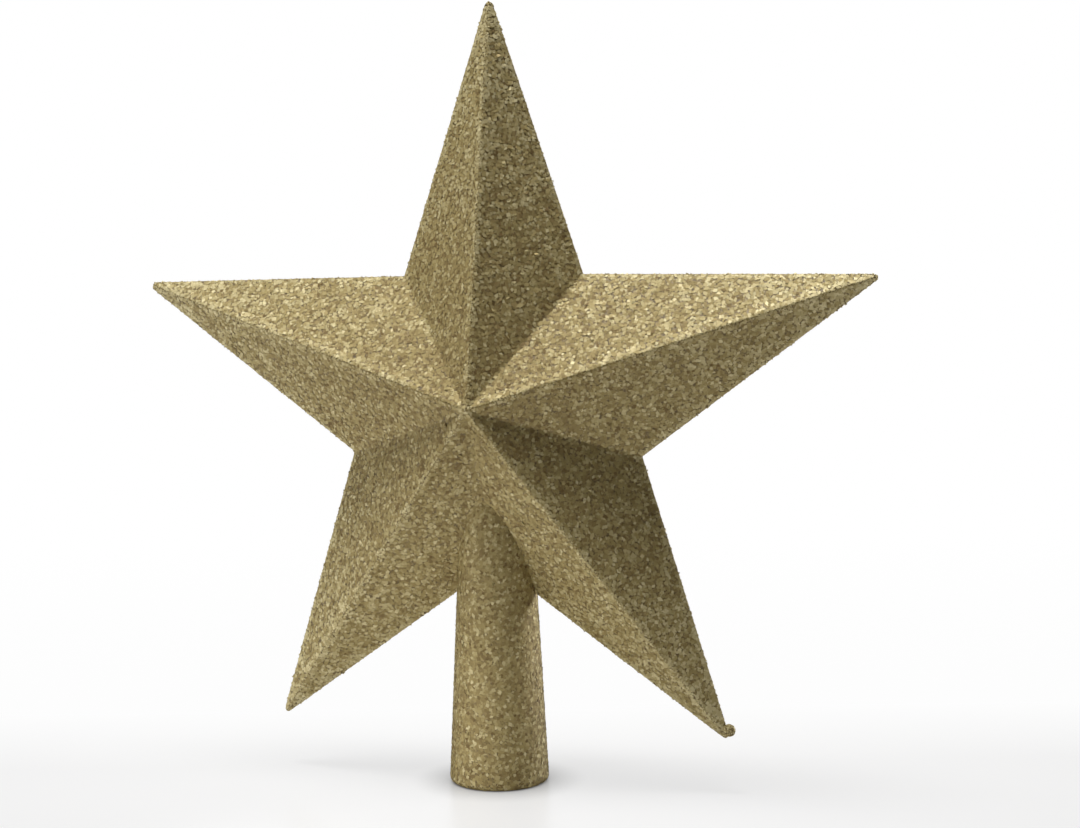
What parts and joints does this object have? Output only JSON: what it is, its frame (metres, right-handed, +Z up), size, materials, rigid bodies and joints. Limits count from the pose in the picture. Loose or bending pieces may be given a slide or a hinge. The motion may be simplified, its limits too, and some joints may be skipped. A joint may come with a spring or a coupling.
{
  "type": "christmas tree topper star",
  "caption": "Hollow faceted star coated in gold glitter, on a tapered socket tube that slips over the top shoot of a Christmas tree.",
  "frame": {"origin": "centre of the tube's foot, on the surface that the star stands on", "axes": "+Z up along the tube to the top tip, -Y out of the front face of the star, +X to the right seen from the front"},
  "size_m": [0.1846, 0.0412, 0.19],
  "materials": {
    "shell_plastic": "gold-tinted polystyrene, moulded, glossy",
    "tube_plastic": "gold-tinted polystyrene, moulded, glossy",
    "gold_glitter": "pale gold polyester glitter flakes set in clear glue",
    "glittered_glue": "set clear glue full of pale gold glitter flakes"
  },
  "bodies": {
    "root": {"front_shell": "shell_plastic", "rear_shell": "shell_plastic", "socket_tube": "tube_plastic", "front_glitter_coat": "gold_glitter", "rear_glitter_coat": "gold_glitter", "tube_glitter_coat": "gold_glitter", "tip_glue_bead": "glittered_glue"}
  },
  "joints": []
}
